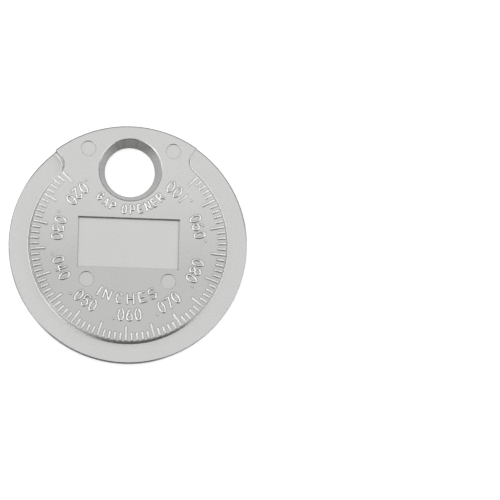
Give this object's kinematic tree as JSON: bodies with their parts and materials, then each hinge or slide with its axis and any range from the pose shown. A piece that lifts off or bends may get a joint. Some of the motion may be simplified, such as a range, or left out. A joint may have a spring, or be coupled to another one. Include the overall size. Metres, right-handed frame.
{
  "type": "spark plug gap gauge",
  "caption": "Flat round ramp gauge: a rim that thickens round a graduated dial, with a tapered hole at the top and a sunken bare panel in the middle.",
  "frame": {"origin": "centre of the disc on its back face, which it rests on", "axes": "+Z out of the dial face, up as it lies; +Y from the centre towards the hole, the top of the dial; +X to the right of the dial"},
  "size_m": [0.045, 0.045, 0.0034],
  "materials": {
    "cast_metal": "die-cast zinc alloy, satin grey"
  },
  "bodies": {
    "root": {"gauge_disc": "cast_metal"}
  },
  "joints": []
}
